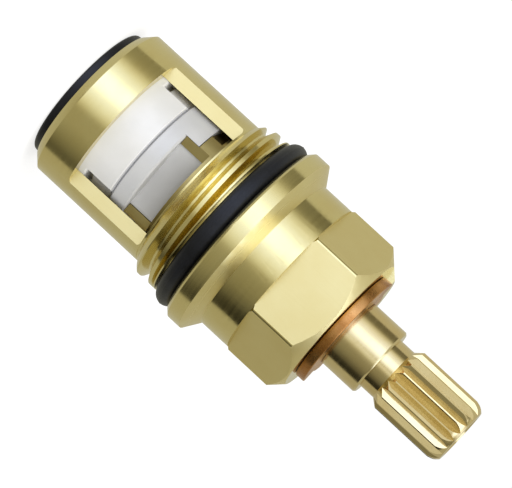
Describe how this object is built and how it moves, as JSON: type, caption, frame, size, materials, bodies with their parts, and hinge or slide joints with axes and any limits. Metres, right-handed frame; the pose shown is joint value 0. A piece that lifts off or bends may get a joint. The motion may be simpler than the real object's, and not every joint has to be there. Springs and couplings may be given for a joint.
{
  "type": "ceramic disc tap cartridge",
  "caption": "Quarter-turn tap cartridge: threaded brass housing with hexagon and side windows, ceramic discs turned by a forked spindle, seal rings and a toothed spline for the handle.",
  "frame": {"origin": "centre of the lower face of the base seal, on which the cartridge stands", "axes": "+Z along the spindle towards the spline; the two windows face -Y and +Y"},
  "size_m": [0.023, 0.023, 0.0535],
  "materials": {
    "housing_brass": "turned and milled, satin",
    "spindle_brass": "turned, bright",
    "moving_ceramic": "ground alumina, matt",
    "fixed_ceramic": "ground alumina, matt",
    "rubber": "moulded, satin",
    "white_plastic": "moulded acetal",
    "clip_bronze": "stamped phosphor bronze"
  },
  "bodies": {
    "housing": {"housing": "housing_brass", "fixed_disc": "fixed_ceramic", "base_seal": "rubber", "seal_support_ring": "white_plastic", "body_oring": "rubber", "friction_washer": "white_plastic"},
    "spindle": {"spindle": "spindle_brass", "moving_disc": "moving_ceramic", "spindle_oring_lower": "rubber", "spindle_oring_upper": "rubber", "retaining_clip": "clip_bronze"}
  },
  "joints": [
    {"name": "spindle_turn", "type": "hinge", "parent": "housing", "child": "spindle", "pos_m": [0, 0, 0.0365], "axis": [0, 0, 1], "range_deg": [0, 90]}
  ]
}
